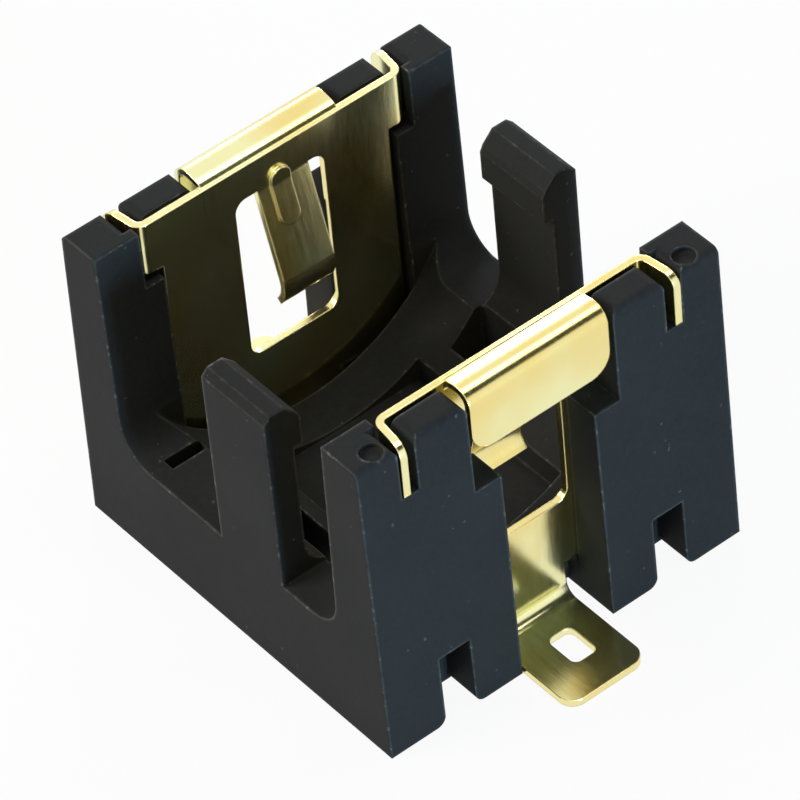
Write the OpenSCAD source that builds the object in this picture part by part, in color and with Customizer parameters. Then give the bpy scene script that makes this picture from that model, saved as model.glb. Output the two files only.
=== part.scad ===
// Surface-mount holder for one short cylindrical cell that lies on its side.
// X runs along the cell, Y across it and Z up from the board. The origin is
// the middle of the footprint, on the board. What is at one end or side comes
// again half a turn round, and the two contacts are the same piece.

/* [Cell] */
// Height of the cradle's floor above the board
floor_z = 1.55; // [1.4:0.05:1.7]
// Radius of the cradle's floor, larger than a cell's so that it seats on a line
cradle_r = 6.6; // [6.4:0.1:6.8]
// Length of the cradle's floor
cradle_l = 10.5; // [10.3:0.1:10.5]

/* [Housing] */
// Length of the housing at the board
body_l = 14.8; // [14.6:0.1:15.2]
// Lean of each end face from the board to the top
draft = 0.3; // [0:0.05:0.4]
// Width of the housing
body_w = 14; // [13.9:0.1:14.3]
// Height of the end walls
body_h = 11.9; // [11.6:0.1:12.2]
// Rounding of the top edge of the end faces
top_r = 0.25; // [0.1:0.05:0.35]
// Clear length between the tops of the corner posts
bay_l = 10.9; // [10.8:0.05:11]
// Lean of a post's inner face, from its fillet to its top
post_lean = 0.15; // [0:0.05:0.15]
// Height of the floor of the gaps beside the retaining arms
gap_z = 3.85; // [3.7:0.05:4]
// Fillet between the gap floor and a corner post
gap_r = 1.3; // [1:0.1:1.5]

/* [Retaining arms] */
// Width of an arm along the cell
arm_w = 3; // [2.8:0.1:3.2]
// Offset of an arm's middle from the middle of the holder
arm_x = 1.1; // [1:0.05:1.2]
// Thickness of an arm
arm_t = 1; // [0.95:0.05:1.1]
// Height of the arm's top
arm_h = 10.9; // [10.7:0.05:11.1]
// Reach of the hook past the arm's inner face
hook_out = 0.35; // [0.25:0.05:0.4]
// Height of the ledge under the hook
hook_z = 9.15; // [9:0.05:9.4]
// Fillet at the arm's root, on its inner face
root_r = 1.25; // [1:0.05:1.3]

/* [End walls] */
// Depth of the pocket in the wall's inner face that takes the contact
seat_d = 0.4; // [0.35:0.05:0.5]
// Width of the middle slot below the lip
slot_w = 3.65; // [3.6:0.05:3.8]
// Width of the middle slot beside the lip
recess_w = 5.65; // [5.5:0.05:5.8]
// Height of the step between the two widths
step_z = 8.4; // [8.2:0.1:8.6]
// Width of a slot for a contact's side flap
flap_slot_w = 0.64; // [0.6:0.02:0.7]
// Rounding of the top edges beside a slot
slot_r = 0.3; // [0.2:0.05:0.35]
// Width of a foot notch
notch_w = 1.2; // [1:0.1:1.3]
// Height of a foot notch
notch_h = 2.75; // [2.5:0.05:2.9]

/* [Contacts] */
// Sheet thickness
sheet = 0.25; // [0.2:0.05:0.25]
// Height of the contact's top edge
plate_top = 11.92; // [11.8:0.02:12]
// Width of the plate below its side flaps
plate_w = 8.9; // [8.7:0.1:9.1]
// Width of the lip that curls over the end wall
lip_w = 5.35; // [5.2:0.05:5.5]
// Width of the window round the spring finger
window_w = 3.5; // [3.4:0.1:3.7]
// Width of the spring finger
finger_w = 2; // [1.8:0.1:2.2]
// Slope of the finger toward the cell, in degrees
finger_lean = 15; // [12:1:17]
// Width of the strip and the solder tab
tab_w = 3.1; // [3:0.05:3.15]
// Reach of the solder tab past the end face at the board
tab_out = 2.25; // [2:0.05:2.4]

/* [Hidden] */
$fn = 64;
eps = 0.01;
lap = 0.004;                       // how far a run of sheet reaches into the bend before it
past = 1;                          // how far a cut runs past the face it opens

half_l = body_l / 2;
half_w = body_w / 2;
end_x = cradle_l / 2;
post_x = bay_l / 2;                // inner face of a corner post, at its top
wall_x = post_x + seat_d;          // pocket wall that the plate lies on
plate_x = wall_x - sheet;          // plate's face toward the cell
seat_z = 9.7;                      // above it the pocket is deeper and wider
seat_gap = 0.15;
seat_y = 5.3;
arm_y = half_w - arm_t;            // arm's inner face

well_z = 1.2;                      // floor of the well behind the cradle's end
well_w = plate_w + 0.3;

core_y0 = 3.95;                    // core opening beside an arm's root
core_y1 = 5.3;
core_side = 0.15;                  // its clearance past each side of the arm

pad_l = 7;                         // shallow flat sink in the cradle's floor
pad_w = 6.4;
pad_deep = 0.1;

relief_x = 3.95;                   // short relief slot in the wide gap's floor
relief_w = 0.5;
relief_y0 = 4.9;
relief_y1 = 6.3;
relief_z = 2.2;

notch_y = 3.65;                    // foot notches, under the end walls
notch_x = 6;
foot_r = 0.35;                     // rounding of the feet beside a notch

mark_d = 0.75;                     // round blind marks on two corner posts
mark_x = 6.62;
mark_y = 6.05;
mark_deep = 0.15;

arm_edge = 0.25;                   // bevel of an arm's outer top edge
hook_bevel = 0.42;                 // lead-in of the hook, across and down
nose_edge = 0.12;                  // bevel of the hook's nose

flap_y = 4.82;                     // where a side flap's bend starts
flap_z = 9.95;                     // its bottom edge
flap_end_x = half_l - draft + 0.08;
flap_r = 0.5;                      // rounding of its outer top corner
flap_bend = 83;                    // in degrees, so that it springs out in its slot
flap_bend_r = 0.2;
flap_slot_y = 4.83;
flap_slot_z = flap_z - 0.05;

lip_z = 9.75;                      // bottom edge of the lip
lip_r = 0.8;                       // rounding of its bottom corners
lip_bend_z = 11.57;                // where its first bend starts
lip_bend = 80;                     // in degrees, so that its top slopes up
lip_top_r = 0.3;
lip_side_r = 0.35;
lip_over = 0.32;                   // flat between the two bends

middle_y = -0.15;                  // window, strip and tab stand off the middle
window_z = 4.15;                   // sill of the window
window_top = 10.65;
window_r = 0.45;

finger_y = -0.3;                   // so does the finger, a little more
finger_root = 0.6;                 // plate above the window that its outline takes in
finger_root_r = 0.6;
finger_l = 3.25;
finger_tip = 60;                   // curl of its tip, in degrees
finger_tip_r = 0.9;
bead_w = 0.75;                     // raised bead across the finger's root
bead_y = -0.15;
bead_z = 9.1;
bead_l = 2.05;
bead_out = 0.13;

plate_z = 1.5;                     // bottom edge of the plate
plate_r = 0.6;
strip_r = 0.45;                    // inside radius of the bend at the board
tab_y = -0.25;
tab_r = 0.55;
hole_l = 1.35;                     // hole in the solder tab
hole_w = 0.92;
hole_r = 0.25;
hole_x = half_l + 0.33;
hole_y = -0.1;

// ---- shared shapes ----

// A rectangle from one corner to another, with rounded corners.
module rounded(x0, y0, x1, y1, r) {
    translate([x0 + r, y0]) square([x1 - x0 - 2 * r, y1 - y0]);
    translate([x0, y0 + r]) square([x1 - x0, y1 - y0 - 2 * r]);
    for (x = [x0 + r, x1 - r], y = [y0 + r, y1 - r])
        translate([x, y]) circle(r);
}

// What a fillet of radius r fills, or a rounding takes away, in a corner at the
// origin whose sides run along +X and +Y.
module corner(r)
    difference() {
        translate([-eps, -eps]) square(r + eps);
        translate([r, r]) circle(r);
    }

// Extrudes an outline drawn in Y and Z along X, from x0 to x1.
module along_x(x0, x1)
    translate([x0, 0, 0]) rotate([90, 0, 90]) linear_extrude(x1 - x0) children();

// Extrudes an outline drawn in X and Z along Y, from y0 to y1.
module along_y(y0, y1)
    translate([0, y1, 0]) rotate([90, 0, 0]) linear_extrude(y1 - y0) children();

// A box from one corner to another.
module block(a, b)
    translate(a) cube(b - a);

// Draws its children, and again half a turn round.
module twice()
    for (a = [0, 180])
        rotate([0, 0, a]) children();

// Draws its children, and again on the other side of the plane across axis v.
module both(v) {
    children();
    mirror(v) children();
}

// ---- housing ----

// The end faces lean in by the draft and round over at the top.
module envelope() {
    lean = atan(draft / body_h);
    z = body_h - top_r;
    x = half_l - draft * z / body_h - top_r / cos(lean);
    along_y(-half_w, half_w) {
        polygon([[-half_l, 0], [half_l, 0],
                 [x + top_r * cos(lean), z + top_r * sin(lean)], [x, body_h],
                 [-x, body_h], [-x - top_r * cos(lean), z + top_r * sin(lean)]]);
        for (side = [-x, x])
            translate([side, z]) circle(top_r);
    }
}

// Space above the gap floors, from post to post.
module bay() {
    foot_x = post_x - post_lean;
    lean_z = gap_z + gap_r;
    along_y(-half_w - past, half_w + past)
        polygon([[-foot_x, lean_z], [-foot_x, gap_z], [foot_x, gap_z], [foot_x, lean_z],
                 [post_x, body_h], [post_x, body_h + past],
                 [-post_x, body_h + past], [-post_x, body_h]]);
}

// Fillets between the gap floors and the corner posts.
module gap_fillets()
    both([1, 0, 0])
        along_y(-half_w, half_w)
            translate([post_x - post_lean, gap_z]) mirror([1, 0]) corner(gap_r);

// Side view of the arm on the +Y side, drawn in Y and Z, with the fillet at its root.
module arm_outline() {
    nose_y = arm_y - hook_out;
    nose_z = arm_h - hook_bevel;
    polygon([[arm_y, gap_z - eps], [half_w, gap_z - eps],
             [half_w, arm_h - arm_edge], [half_w - arm_edge, arm_h],
             [nose_y + hook_bevel + nose_edge, arm_h], [nose_y + nose_edge, nose_z],
             [nose_y, nose_z - 2 * nose_edge], [nose_y, hook_z], [arm_y, hook_z]]);
    translate([arm_y, gap_z]) mirror([1, 0]) corner(root_r);
}

// The arm on the +Y side stands off the middle, toward the -X end.
module arm()
    along_x(-arm_x - arm_w / 2, -arm_x + arm_w / 2) arm_outline();

// The arc that the cell lies in, with its flat sink.
module cradle() {
    arc_z = floor_z + cradle_r;
    intersection() {
        translate([-end_x, 0, arc_z])
            rotate([0, 90, 0]) cylinder(r = cradle_r, h = cradle_l, $fn = 96);
        block([-end_x, -half_w, 0], [end_x, half_w, gap_z + gap_r]);
    }
    block([-pad_l / 2, -pad_w / 2, floor_z - pad_deep], [pad_l / 2, pad_w / 2, gap_z]);
}

// Pocket and well at the +X end that the contact's plate drops into.
module pocket() {
    block([end_x - eps, -well_w / 2, well_z], [wall_x, well_w / 2, body_h + past]);
    block([end_x, -seat_y, seat_z], [wall_x + seat_gap, seat_y, body_h + past]);
    block([end_x - eps, -slot_w / 2, -past], [wall_x, slot_w / 2, well_z + eps]);
}

// Middle slot and flap slots of an end wall, drawn in Y and Z.
module slots() {
    translate([-slot_w / 2, -past]) square([slot_w, body_h + 2 * past]);
    translate([-recess_w / 2, step_z]) square([recess_w, body_h]);
    both([1, 0]) {
        translate([flap_slot_y, flap_slot_z]) square([flap_slot_w, body_h]);
        for (y = [recess_w / 2, flap_slot_y + flap_slot_w])
            translate([y, body_h]) mirror([0, 1]) corner(slot_r);
        translate([flap_slot_y, body_h]) rotate(180) corner(slot_r);
    }
}

// A foot notch, drawn in Y and Z: the feet beside it are rounded at the board.
module notch() {
    translate([notch_y, -past]) square([notch_w, notch_h + past]);
    translate([notch_y, 0]) mirror([1, 0]) corner(foot_r);
    translate([notch_y + notch_w, 0]) corner(foot_r);
}

// Everything that opens the +X end wall.
module end_openings() {
    pocket();
    along_x(wall_x - eps, half_l + past) slots();
    both([0, 1, 0]) along_x(notch_x, half_l + past) notch();
}

// Core opening inside the arm on the +Y side, and the relief slot beside it.
module side_openings() {
    block([-arm_x - arm_w / 2 - core_side, core_y0, -past],
          [-arm_x + arm_w / 2 + core_side, core_y1, gap_z + gap_r]);
    block([relief_x - relief_w / 2, relief_y0, relief_z],
          [relief_x + relief_w / 2, relief_y1, gap_z + eps]);
}

// Blind marks on the tops of the two corner posts at the +X end.
module marks()
    for (y = [-mark_y, mark_y])
        translate([mark_x, y, body_h - mark_deep])
            cylinder(d = mark_d, h = past, $fn = 32);

module housing()
    color([0.09, 0.09, 0.1])
        difference() {
            union() {
                difference() {
                    envelope();
                    bay();
                }
                gap_fillets();
                twice() arm();
            }
            cradle();
            twice() end_openings();
            twice() side_openings();
            marks();
        }

// ---- contacts ----

// A bend in sheet metal, drawn in the plane: it starts at the origin, heading
// along +X with the sheet above the line, and turns left by the angle.
module bend_left(angle, r) {
    reach = 2 * (r + sheet);
    translate([0, sheet + r])
        intersection() {
            difference() {
                circle(r + sheet);
                circle(r);
            }
            polygon([[0, 0], [0, -reach],
                     [reach * tan(angle / 2), -reach],
                     [reach * sin(angle), -reach * cos(angle)]]);
        }
}

// Carries its children to the end of that bend.
module after_left(angle, r)
    translate([0, sheet + r])
        rotate(angle) translate([0, -sheet - r]) children();

// The same bend to the right.
module bend_right(angle, r)
    translate([0, sheet]) mirror([0, 1]) bend_left(angle, r);

module after_right(angle, r)
    translate([0, -r]) rotate(-angle) translate([0, r]) children();

// A straight run of sheet, and its children at the end of it.
module run(length) {
    translate([-lap, 0]) square([length + lap, sheet]);
    translate([length, 0]) children();
}

// Flat plate with its window, drawn in Y and Z.
module plate_outline()
    difference() {
        union() {
            rounded(-plate_w / 2, plate_z, plate_w / 2, flap_z + past, plate_r);
            translate([-flap_y, flap_z]) square([2 * flap_y, plate_top - flap_z]);
        }
        rounded(middle_y - window_w / 2, window_z,
                middle_y + window_w / 2, window_top, window_r);
    }

// Side flap on the +Y side, bent outward into its slot.
module flap()
    intersection() {
        translate([wall_x, flap_y, flap_z])
            linear_extrude(plate_top - flap_z)
                rotate(90) {
                    bend_right(flap_bend, flap_bend_r);
                    after_right(flap_bend, flap_bend_r) run(flap_end_x - wall_x);
                }
        along_y(0, half_w)
            rounded(plate_x - past, flap_z - past, flap_end_x, plate_top, flap_r);
    }

// Side view of the lip, drawn in X and Z: up from the plate, over the wall's
// top and down its outer side.
module lip_outline()
    translate([wall_x, window_top])
        rotate(90)
            run(lip_bend_z - window_top) {
                bend_right(lip_bend, lip_top_r);
                after_right(lip_bend, lip_top_r)
                    run(lip_over) {
                        bend_right(180 - lip_bend, lip_side_r);
                        after_right(180 - lip_bend, lip_side_r) run(plate_top - lip_z);
                    }
            }

module lip()
    intersection() {
        along_y(-lip_w / 2, lip_w / 2) lip_outline();
        along_x(plate_x - past, half_l + past)
            rounded(-lip_w / 2, lip_z, lip_w / 2, body_h + 2 * past, lip_r);
    }

// Side view of the spring finger, drawn in X and Z: it leans toward the cell
// and its tip curls back.
module finger_outline()
    translate([plate_x, window_top + finger_root])
        rotate(-90)
            run(finger_root) {
                bend_right(finger_lean, finger_root_r);
                after_right(finger_lean, finger_root_r)
                    run(finger_l) bend_left(finger_tip, finger_tip_r);
            }

// The finger, with the bead that stiffens its root.
module finger() {
    along_y(finger_y - finger_w / 2, finger_y + finger_w / 2) finger_outline();
    intersection() {
        translate([-bead_out, 0, 0])
            along_y(bead_y - bead_w, bead_y + bead_w) finger_outline();
        along_x(0, wall_x)
            rounded(bead_y - bead_w / 2, bead_z, bead_y + bead_w / 2,
                    bead_z + bead_l, bead_w / 2 - eps);
    }
}

// Strip down the middle slot, and the solder tab with its hole.
module tab() {
    drop = plate_z + plate_r - sheet - strip_r;
    reach = half_l + tab_out - wall_x - strip_r;
    y0 = tab_y - tab_w / 2;
    y1 = tab_y + tab_w / 2;
    difference() {
        intersection() {
            along_y(y0, y1)
                translate([plate_x, plate_z + plate_r])
                    rotate(-90)
                        run(drop) {
                            bend_left(90, strip_r);
                            after_left(90, strip_r) run(reach);
                        }
            linear_extrude(plate_z + plate_r + past)
                rounded(0, y0, half_l + tab_out, y1, tab_r);
        }
        translate([0, 0, -past])
            linear_extrude(sheet + 2 * past)
                rounded(hole_x - hole_l / 2, hole_y - hole_w / 2,
                        hole_x + hole_l / 2, hole_y + hole_w / 2, hole_r);
    }
}

module contact()
    color([0.83, 0.71, 0.35]) {
        along_x(plate_x, wall_x) plate_outline();
        both([0, 1, 0]) flap();
        lip();
        finger();
        tab();
    }

module front_contact()
    contact();

module rear_contact()
    rotate([0, 0, 180]) contact();

housing();
front_contact();
rear_contact();
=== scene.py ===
# Holder for a short cylindrical cell: a moulded black housing with two folded, gold-plated
# spring contacts. Everything is in metres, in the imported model's frame.
import math

import bpy
from mathutils import Matrix, Vector


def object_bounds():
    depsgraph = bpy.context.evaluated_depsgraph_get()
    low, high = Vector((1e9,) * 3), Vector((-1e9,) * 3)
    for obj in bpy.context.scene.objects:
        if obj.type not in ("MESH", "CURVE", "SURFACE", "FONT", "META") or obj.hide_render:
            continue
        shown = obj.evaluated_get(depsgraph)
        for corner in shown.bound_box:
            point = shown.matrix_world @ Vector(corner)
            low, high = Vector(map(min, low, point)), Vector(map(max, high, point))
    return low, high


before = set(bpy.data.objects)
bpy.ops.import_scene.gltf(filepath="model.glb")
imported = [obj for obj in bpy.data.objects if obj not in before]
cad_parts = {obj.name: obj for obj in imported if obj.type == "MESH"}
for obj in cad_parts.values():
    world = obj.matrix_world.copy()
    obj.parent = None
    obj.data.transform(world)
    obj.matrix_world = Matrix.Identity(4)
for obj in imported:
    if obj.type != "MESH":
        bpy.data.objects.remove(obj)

MM = 0.001
cad_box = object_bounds()
centre = (cad_box[0] + cad_box[1]) / 2

# ---- camera ----
AZIMUTH = math.radians(-54.66)      # heading, from +Y toward +X
ELEVATION = math.radians(44.30)
ROLL = math.radians(-5.74)
DISTANCE = 213.5 * MM
AIM = Vector((0, 0, 5.923 * MM))    # point that the camera circles
ASIDE = (-0.054 * MM, -0.518 * MM)  # camera's place across and up from that line
SENSOR = 36
LENS = 313.1                        # for that sensor
CLIP = (0.01, 10)


def add_camera():
    forward = Vector((math.sin(AZIMUTH) * math.cos(ELEVATION),
                      math.cos(AZIMUTH) * math.cos(ELEVATION),
                      -math.sin(ELEVATION)))
    level = Vector((math.cos(AZIMUTH), -math.sin(AZIMUTH), 0))
    upright = level.cross(forward)
    right = math.cos(ROLL) * level + math.sin(ROLL) * upright
    up = -math.sin(ROLL) * level + math.cos(ROLL) * upright
    data = bpy.data.cameras.new("camera")
    data.lens = LENS
    data.sensor_width = SENSOR
    data.clip_start, data.clip_end = CLIP
    cam = bpy.data.objects.new("camera", data)
    bpy.context.scene.collection.objects.link(cam)
    place = AIM - DISTANCE * forward + ASIDE[0] * right + ASIDE[1] * up
    turn = Matrix((right, up, -forward)).transposed().to_4x4()
    cam.matrix_world = Matrix.Translation(place) @ turn
    bpy.context.scene.camera = cam


# ---- shared helpers ----

def grey(level):
    return (level, level, level, 1)


def sheet(name, half_x, half_y, material):
    """A flat rectangle about the origin, that belongs to the studio and not to the object."""
    mesh = bpy.data.meshes.new(name)
    mesh.from_pydata([(-half_x, -half_y, 0), (half_x, -half_y, 0),
                      (half_x, half_y, 0), (-half_x, half_y, 0)], [], [(0, 1, 2, 3)])
    mesh.materials.append(material)
    obj = bpy.data.objects.new(name, mesh)
    bpy.context.scene.collection.objects.link(obj)
    return obj


def face_object(obj, direction, distance):
    """Puts a lamp or a card in a direction from the object's centre; its -Z side faces the object."""
    back = Vector(direction).normalized()
    obj.location = centre + back * distance
    obj.rotation_mode = "QUATERNION"
    obj.rotation_quaternion = back.to_track_quat("Z", "Y")


class Nodes:
    """A material's or world's node tree, with short calls to add and join nodes."""

    def __init__(self, owner):
        owner.use_nodes = True
        self.tree = owner.node_tree
        self.tree.nodes.clear()

    def add(self, kind, settings=None, **inputs):
        node = self.tree.nodes.new("ShaderNode" + kind)
        for name, value in (settings or {}).items():
            setattr(node, name, value)
        for name, value in inputs.items():
            self.give(node, name.replace("_", " "), value)
        return node

    def give(self, node, name, value):
        socket = node.inputs[int(name) if name.isdigit() else name]
        if isinstance(value, bpy.types.NodeSocket):
            self.tree.links.new(value, socket)
        else:
            socket.default_value = value

    def position(self):
        return self.add("NewGeometry").outputs["Position"]

    def noise(self, scale, detail, rough, where=None):
        return self.add("TexNoise", Vector=where or self.position(), Scale=scale, Detail=detail,
                        Roughness=rough).outputs["Fac"]

    def ramp(self, value, *stops):
        node = self.add("ValToRGB", Fac=value)
        line = node.color_ramp.elements
        while len(line) < len(stops):
            line.new(0.5)
        for element, (at, level) in zip(line, stops):
            element.position = at
            element.color = grey(level)
        return node.outputs["Color"]

    def math(self, operation, a, b):
        node = self.add("Math", {"operation": operation})
        self.give(node, "0", a)
        self.give(node, "1", b)
        return node.outputs[0]

    def product(self, a, b):
        return self.math("MULTIPLY", a, b)

    def spread(self, value, low, high):
        """Maps the middle of a noise's range to one from low to high."""
        return self.add("MapRange", Value=value, From_Min=0.3, From_Max=0.7,
                        To_Min=low, To_Max=high).outputs[0]

    def mix(self, factor, a, b):
        node = self.add("Mix", {"data_type": "RGBA"})
        self.give(node, "0", factor)
        self.give(node, "6", a)
        self.give(node, "7", b)
        return node.outputs[2]

    def bevel(self, radius):
        return self.add("Bevel", {"samples": 6}, Radius=radius).outputs["Normal"]

    def bump(self, height, strength, distance, normal):
        return self.add("Bump", Height=height, Strength=strength, Distance=distance,
                        Normal=normal).outputs["Normal"]

    def edge(self, radius):
        """How far the bevelled normal turns from the flat one: 0 on a face, more at an edge."""
        flat = self.add("NewGeometry").outputs["True Normal"]
        dot = self.add("VectorMath", {"operation": "DOT_PRODUCT"})
        self.tree.links.new(self.bevel(radius), dot.inputs[0])
        self.tree.links.new(flat, dot.inputs[1])
        return self.math("SUBTRACT", 1.0, dot.outputs["Value"])

    def open_edge(self, radius, reach):
        """The same, without the edges that lie in a corner."""
        openness = self.add("AmbientOcclusion", {"samples": 4}, Distance=reach).outputs["AO"]
        return self.product(self.edge(radius), self.ramp(openness, (0.6, 0.0), (0.85, 1.0)))

    def surface(self, shader, output="OutputMaterial"):
        out = self.add(output)
        self.tree.links.new(shader.outputs[0], out.inputs["Surface"])


# ---- materials ----

BLACK = (0.022, 0.0225, 0.0232, 1)
BLACK_FLOW = (0.028, 0.0284, 0.0290, 1)
BLACK_GRAIN = (0.040, 0.040, 0.041, 1)
# Paler tone for the painted edge highlight and rubbed edges; also the colour of the specks.
PALE_WEAR_AND_HIGHLIGHT = (0.15, 0.148, 0.14, 1)
DUST = (0.30, 0.295, 0.28, 1)

GOLD = (0.87, 0.71, 0.27, 1)
GOLD_PALE = (0.88, 0.85, 0.46, 1)
GOLD_RIM = (0.90, 0.72, 0.40, 1)


def moulded_black():
    """Matt black moulding: a fine spark-eroded grain, faint flow marks, outer edges painted a little
    paler as a painted highlight and as rubbing, with dust caught on them, and a few specks on the
    faces."""
    material = bpy.data.materials.new("moulded_black")
    n = Nodes(material)
    grain = n.noise(5200, 4, 0.62)
    pores = n.noise(14000, 2, 0.5)
    flow = n.ramp(n.noise(230, 3, 0.55), (0.3, 0.0), (0.7, 1.0))
    patches = n.ramp(n.noise(2100, 4, 0.7), (0.35, 0.2), (0.7, 1.0))
    # Open outer edges: a painted highlight along them, together with rubbing wear.
    worn_and_highlight = n.ramp(n.product(n.open_edge(0.16 * MM, 0.6 * MM), patches), (0.005, 0.0), (0.10, 1.0))
    dust = n.ramp(n.noise(3900, 2, 0.4), (0.60, 0.0), (0.66, 1.0))
    specks = n.ramp(n.noise(4300, 1, 0.4), (0.765, 0.0), (0.79, 1.0))
    base = n.mix(flow, BLACK, BLACK_FLOW)
    base = n.mix(n.ramp(grain, (0.35, 0.0), (0.7, 0.35)), base, BLACK_GRAIN)
    # Painted highlight: open edges painted paler, partly highlight and partly rubbing; dust sits on
    # the same edges.
    base = n.mix(n.product(worn_and_highlight, 0.6), base, PALE_WEAR_AND_HIGHLIGHT)
    base = n.mix(n.product(n.product(dust, worn_and_highlight), 0.7), base, DUST)
    base = n.mix(n.product(specks, 0.4), base, PALE_WEAR_AND_HIGHLIGHT)
    height = n.math("ADD", grain, n.product(pores, 0.5))
    normal = n.bump(height, 0.32, 0.012 * MM, n.bevel(0.2 * MM))
    n.surface(n.add("BsdfPrincipled", Base_Color=base, Roughness=n.spread(grain, 0.46, 0.62),
                    IOR=1.46, Specular_IOR_Level=0.03, Normal=normal))
    return material


def gold_plate():
    """Bright gold plating over stamped sheet: faint rolling lines, soft ripples from the press
    that shift its colour, and warmer rims where the sheet was cut and bent."""
    material = bpy.data.materials.new("gold_plate")
    n = Nodes(material)
    along = n.add("Mapping", Vector=n.position(), Scale=(1.0, 9.0, 1.0)).outputs[0]
    rolled = n.noise(900, 3, 0.6, where=along)
    ripple = n.noise(260, 2, 0.5)
    fine = n.noise(9000, 3, 0.6)
    rim = n.ramp(n.edge(0.09 * MM), (0.02, 0.0), (0.25, 1.0))
    base = n.mix(n.ramp(ripple, (0.34, 0.0), (0.6, 1.0)), GOLD, GOLD_PALE)
    base = n.mix(n.product(rim, 0.55), base, GOLD_RIM)
    streaks = n.math("ADD", n.product(rolled, 0.6), n.product(fine, 0.4))
    height = n.math("ADD", ripple, n.product(rolled, 0.03))
    normal = n.bump(height, 0.4, 0.12 * MM, n.bevel(0.07 * MM))
    n.surface(n.add("BsdfPrincipled", Base_Color=base, Metallic=1.0,
                    Roughness=n.spread(streaks, 0.15, 0.23), Normal=normal))
    return material


def dress():
    black, gold = moulded_black(), gold_plate()
    looks = {"housing": black, "front_contact": gold, "rear_contact": gold}
    for node, material in looks.items():
        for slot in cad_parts[node].material_slots:
            slot.material = material


# ---- floor, world, card and lamps ----

FLOOR_HALF = 2.0
FLOOR_GAP = 0.02 * MM               # the floor lies this far under the object
FLOOR_WHITE = 0.93                  # share of plain white in what is seen of the floor
AMBIENT = 0.09

CARD_DIRECTION = (0.46, 0.41, 0.78)
CARD_DISTANCE = 0.5
CARD_HALF = 0.16

LAMP_DISTANCE = 0.30
TOP_DISTANCE = 0.32
# name, direction from the object, distance, size, power, colour
LAMPS = [
    ("key", (-0.45, -0.9, 0.6), LAMP_DISTANCE, (0.14, 0.12), 0.66, (1.0, 0.98, 0.91)),
    ("fill", (1.0, 0.0, 0.09), LAMP_DISTANCE, (0.07, 0.05), 0.86, (0.46, 0.77, 1.0)),
    ("top", (0.1, 0.25, 1.0), TOP_DISTANCE, (0.12, 0.20), 0.26, (1.0, 1.0, 0.97)),
    ("back", (-0.8, 0.7, 0.4), LAMP_DISTANCE, (0.14, 0.10), 0.42, (0.95, 0.98, 1.0)),
]


def seen_white(n, shader, white_kind, share):
    """Mixes a shader with plain white for what the camera and the reflections see of it."""
    path = n.add("LightPath").outputs
    seen = n.math("MAXIMUM", path["Is Camera Ray"],
                  n.math("MAXIMUM", path["Is Glossy Ray"], path["Is Transmission Ray"]))
    white = n.add(white_kind, Color=grey(1), Strength=1.0)
    mixed = n.add("MixShader")
    n.give(mixed, "0", n.product(seen, share))
    n.give(mixed, "1", shader.outputs[0])
    n.give(mixed, "2", white.outputs[0])
    return mixed


def add_floor():
    material = bpy.data.materials.new("floor_white")
    n = Nodes(material)
    n.surface(seen_white(n, n.add("BsdfDiffuse", Color=grey(0.86)), "Emission", FLOOR_WHITE))
    floor = sheet("floor", FLOOR_HALF, FLOOR_HALF, material)
    floor.location.z = cad_box[0].z - FLOOR_GAP


def add_world():
    world = bpy.data.worlds.new("studio")
    bpy.context.scene.world = world
    n = Nodes(world)
    ambient = n.add("Background", Color=(0.92, 0.96, 1.0, 1), Strength=AMBIENT)
    n.surface(seen_white(n, ambient, "Background", 1), "OutputWorld")


def add_card():
    """A dark card above the front end, out of view: the gold bends show it as a darker line."""
    material = bpy.data.materials.new("card_dark")
    n = Nodes(material)
    n.surface(n.add("BsdfDiffuse", Color=(0.05, 0.06, 0.03, 1)))
    card = sheet("card", CARD_HALF, CARD_HALF, material)
    face_object(card, CARD_DIRECTION, CARD_DISTANCE)


def add_lamps():
    for name, direction, distance, size, power, colour in LAMPS:
        data = bpy.data.lights.new(name, "AREA")
        data.shape = "RECTANGLE"
        data.size, data.size_y = size
        data.energy = power
        data.color = colour
        lamp = bpy.data.objects.new(name, data)
        bpy.context.scene.collection.objects.link(lamp)
        face_object(lamp, direction, distance)


add_camera()
dress()
add_floor()
add_world()
add_card()
add_lamps()
bpy.context.scene.view_settings.view_transform = "Standard"
